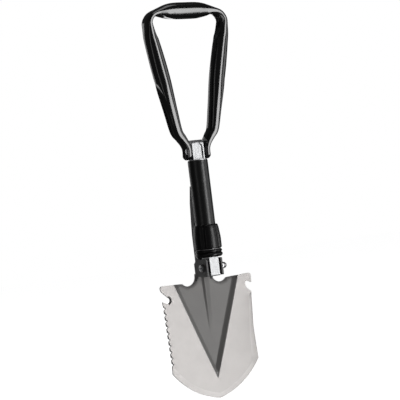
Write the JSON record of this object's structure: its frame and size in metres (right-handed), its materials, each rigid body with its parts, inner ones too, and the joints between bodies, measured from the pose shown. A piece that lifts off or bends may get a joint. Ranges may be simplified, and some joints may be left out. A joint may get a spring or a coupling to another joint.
{
  "type": "folding camp shovel",
  "caption": "Compact folding camp shovel with a saw-edged pointed blade, a fold-out pick, a screw locking collar and a folding D handle of bent tube.",
  "frame": {"origin": "on the shaft's centre line, in the middle of the bare stretch of tube between the locking collar and the handle yoke", "axes": "+Z along the shaft towards the handle, -Z towards the blade's point, +X to the right seen from the side the blade's hollow faces, -Y the way the blade's hollow faces"},
  "size_m": [0.1106, 0.0416, 0.4134],
  "materials": {
    "blade_steel": "stainless sheet, satin flats with a ground bevel on its edges and a darker pressed recess",
    "zinc": "bright zinc plate",
    "bolt_zinc": "zinc-plated fastener",
    "dome_chrome": "bright plated dome",
    "washer_grey": "grey washer",
    "black_spacer": "black spacer",
    "pick_steel": "dark oxide finish",
    "tube_black": "satin black powder coat",
    "thread_zinc": "cut thread with a dull zinc plate",
    "collar_black": "black moulded nylon, lightly glossy",
    "insert_brass": "brass thread insert",
    "ring_black": "black moulded nylon",
    "handle_black": "glossy black powder coat"
  },
  "bodies": {
    "shaft": {"hinge_block": "zinc", "shaft_tube": "tube_black", "threaded_sleeve": "thread_zinc", "block_rivet": "bolt_zinc", "handle_yoke": "zinc", "pick_pin": "bolt_zinc"},
    "blade": {"blade": "blade_steel", "hinge_bolt": "bolt_zinc", "dome_nut": "dome_chrome", "nut_washer": "washer_grey", "hinge_spacers": "black_spacer"},
    "pick": {"pick": "pick_steel"},
    "ring": {"pressure_ring": "ring_black", "slip_washer": "washer_grey"},
    "collar": {"locking_collar": "collar_black", "collar_insert": "insert_brass"},
    "handle": {"handle_frame": "handle_black", "handle_pin": "bolt_zinc", "pin_cap": "bolt_zinc", "handle_washers": "washer_grey"}
  },
  "joints": [
    {"name": "blade_fold", "type": "hinge", "parent": "shaft", "child": "blade", "pos_m": [0, 0, -0.0778], "axis": [-1, 0, 0], "range_deg": [0, 180]},
    {"name": "pick_fold", "type": "hinge", "parent": "shaft", "child": "pick", "pos_m": [0, 0.017, -0.0756], "axis": [-1, 0, 0], "range_deg": [0, 90]},
    {"name": "ring_slide", "type": "slide", "parent": "shaft", "child": "ring", "axis": [0, 0, 1], "range_m": [-0.0012, 0.008]},
    {"name": "collar_spin", "type": "hinge", "parent": "ring", "child": "collar", "pos_m": [0, 0, -0.046], "axis": [0, 0, 1], "range_deg": [-144, 960]},
    {"name": "handle_fold", "type": "hinge", "parent": "shaft", "child": "handle", "pos_m": [0, 0, 0.044], "axis": [1, 0, 0], "range_deg": [-4, 176]}
  ],
  "couplings": [
    {"joint": "ring_slide", "follows": "collar_spin", "m_per_rad": 0.0004774}
  ]
}
